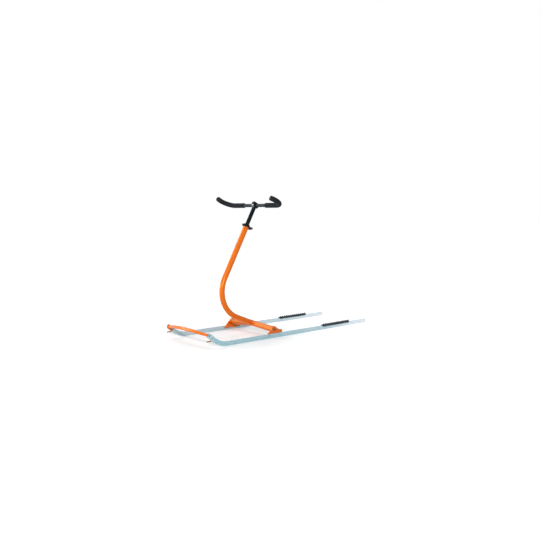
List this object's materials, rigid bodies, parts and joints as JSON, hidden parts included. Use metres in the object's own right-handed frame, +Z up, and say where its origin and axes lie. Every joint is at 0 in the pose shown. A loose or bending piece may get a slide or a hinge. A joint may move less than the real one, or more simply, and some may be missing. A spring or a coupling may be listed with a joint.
{
  "type": "kicksled",
  "caption": "Standing kick sled: two steel edge runners, a bent orange post with clamped telescoping stem and bullhorn bar, front bow and foot treads.",
  "frame": {"origin": "middle of the outer box, on the floor that the runners stand on", "axes": "+Z up, the sled's front faces -Y, its tail +Y, and +X is the standing rider's left"},
  "size_m": [0.6418, 1.605, 0.9973],
  "materials": {
    "orange_paint": "glossy powder coat",
    "bracket_paint": "satin powder coat",
    "runner_steel": "brushed flat bar",
    "fastener_steel": "zinc plated",
    "dark_steel": "blackened",
    "black_paint": "satin black",
    "black_plastic": "moulded",
    "grip_foam": "closed-cell foam sleeve",
    "tread_rubber": "ribbed"
  },
  "bodies": {
    "sled": {"bow_hook_left": "bracket_paint", "bow_hook_right": "bracket_paint", "bow_screw_left": "dark_steel", "bow_screw_right": "dark_steel", "bracket_bolt_left_front": "fastener_steel", "bracket_bolt_left_rear": "fastener_steel", "bracket_bolt_right_front": "fastener_steel", "bracket_bolt_right_rear": "fastener_steel", "bracket_left": "bracket_paint", "bracket_nut_left_front": "fastener_steel", "bracket_nut_left_rear": "fastener_steel", "bracket_nut_right_front": "fastener_steel", "bracket_nut_right_rear": "fastener_steel", "bracket_right": "bracket_paint", "bush_screw": "dark_steel", "cam_saddle": "black_plastic", "clamp_collar": "black_paint", "clamp_skewer": "dark_steel", "cross_plug_left": "black_plastic", "cross_plug_right": "black_plastic", "cross_screw_left": "dark_steel", "cross_screw_right": "dark_steel", "cross_tube": "orange_paint", "foot_tread_left": "tread_rubber", "foot_tread_right": "tread_rubber", "front_bow": "orange_paint", "hook_bolt_left": "fastener_steel", "hook_bolt_right": "fastener_steel", "hook_nut_left": "fastener_steel", "hook_nut_right": "fastener_steel", "post_tube": "orange_paint", "runner_left": "runner_steel", "runner_right": "runner_steel", "skewer_knob": "dark_steel", "stem_bush": "black_plastic", "tread_bolt_left_front": "fastener_steel", "tread_bolt_left_rear": "fastener_steel", "tread_bolt_right_front": "fastener_steel", "tread_bolt_right_rear": "fastener_steel", "tread_nut_left_front": "fastener_steel", "tread_nut_left_rear": "fastener_steel", "tread_nut_right_front": "fastener_steel", "tread_nut_right_rear": "fastener_steel"},
    "stem": {"stem_tube": "black_paint", "stem_head": "black_paint", "head_cap": "black_paint", "cap_bolt_front": "dark_steel", "cap_bolt_rear": "dark_steel"},
    "handlebar": {"handlebar": "black_paint", "grip_left": "grip_foam", "grip_right": "grip_foam", "bar_plug_left": "black_plastic", "bar_plug_right": "black_plastic"},
    "lever": {"release_lever": "black_paint"}
  },
  "joints": [
    {"name": "stem_slide", "type": "slide", "parent": "sled", "child": "stem", "axis": [0, 0.4818, 0.8763], "range_m": [-0.11, 0.12]},
    {"name": "bar_roll", "type": "hinge", "parent": "stem", "child": "handlebar", "pos_m": [0, -0.15774, 0.9326], "axis": [1, 0, 0], "range_deg": [-45, 45]},
    {"name": "lever_cam", "type": "hinge", "parent": "sled", "child": "lever", "pos_m": [-0.0228, -0.20742, 0.76729], "axis": [0, -0.4818, -0.8763], "range_deg": [0, 150]}
  ]
}
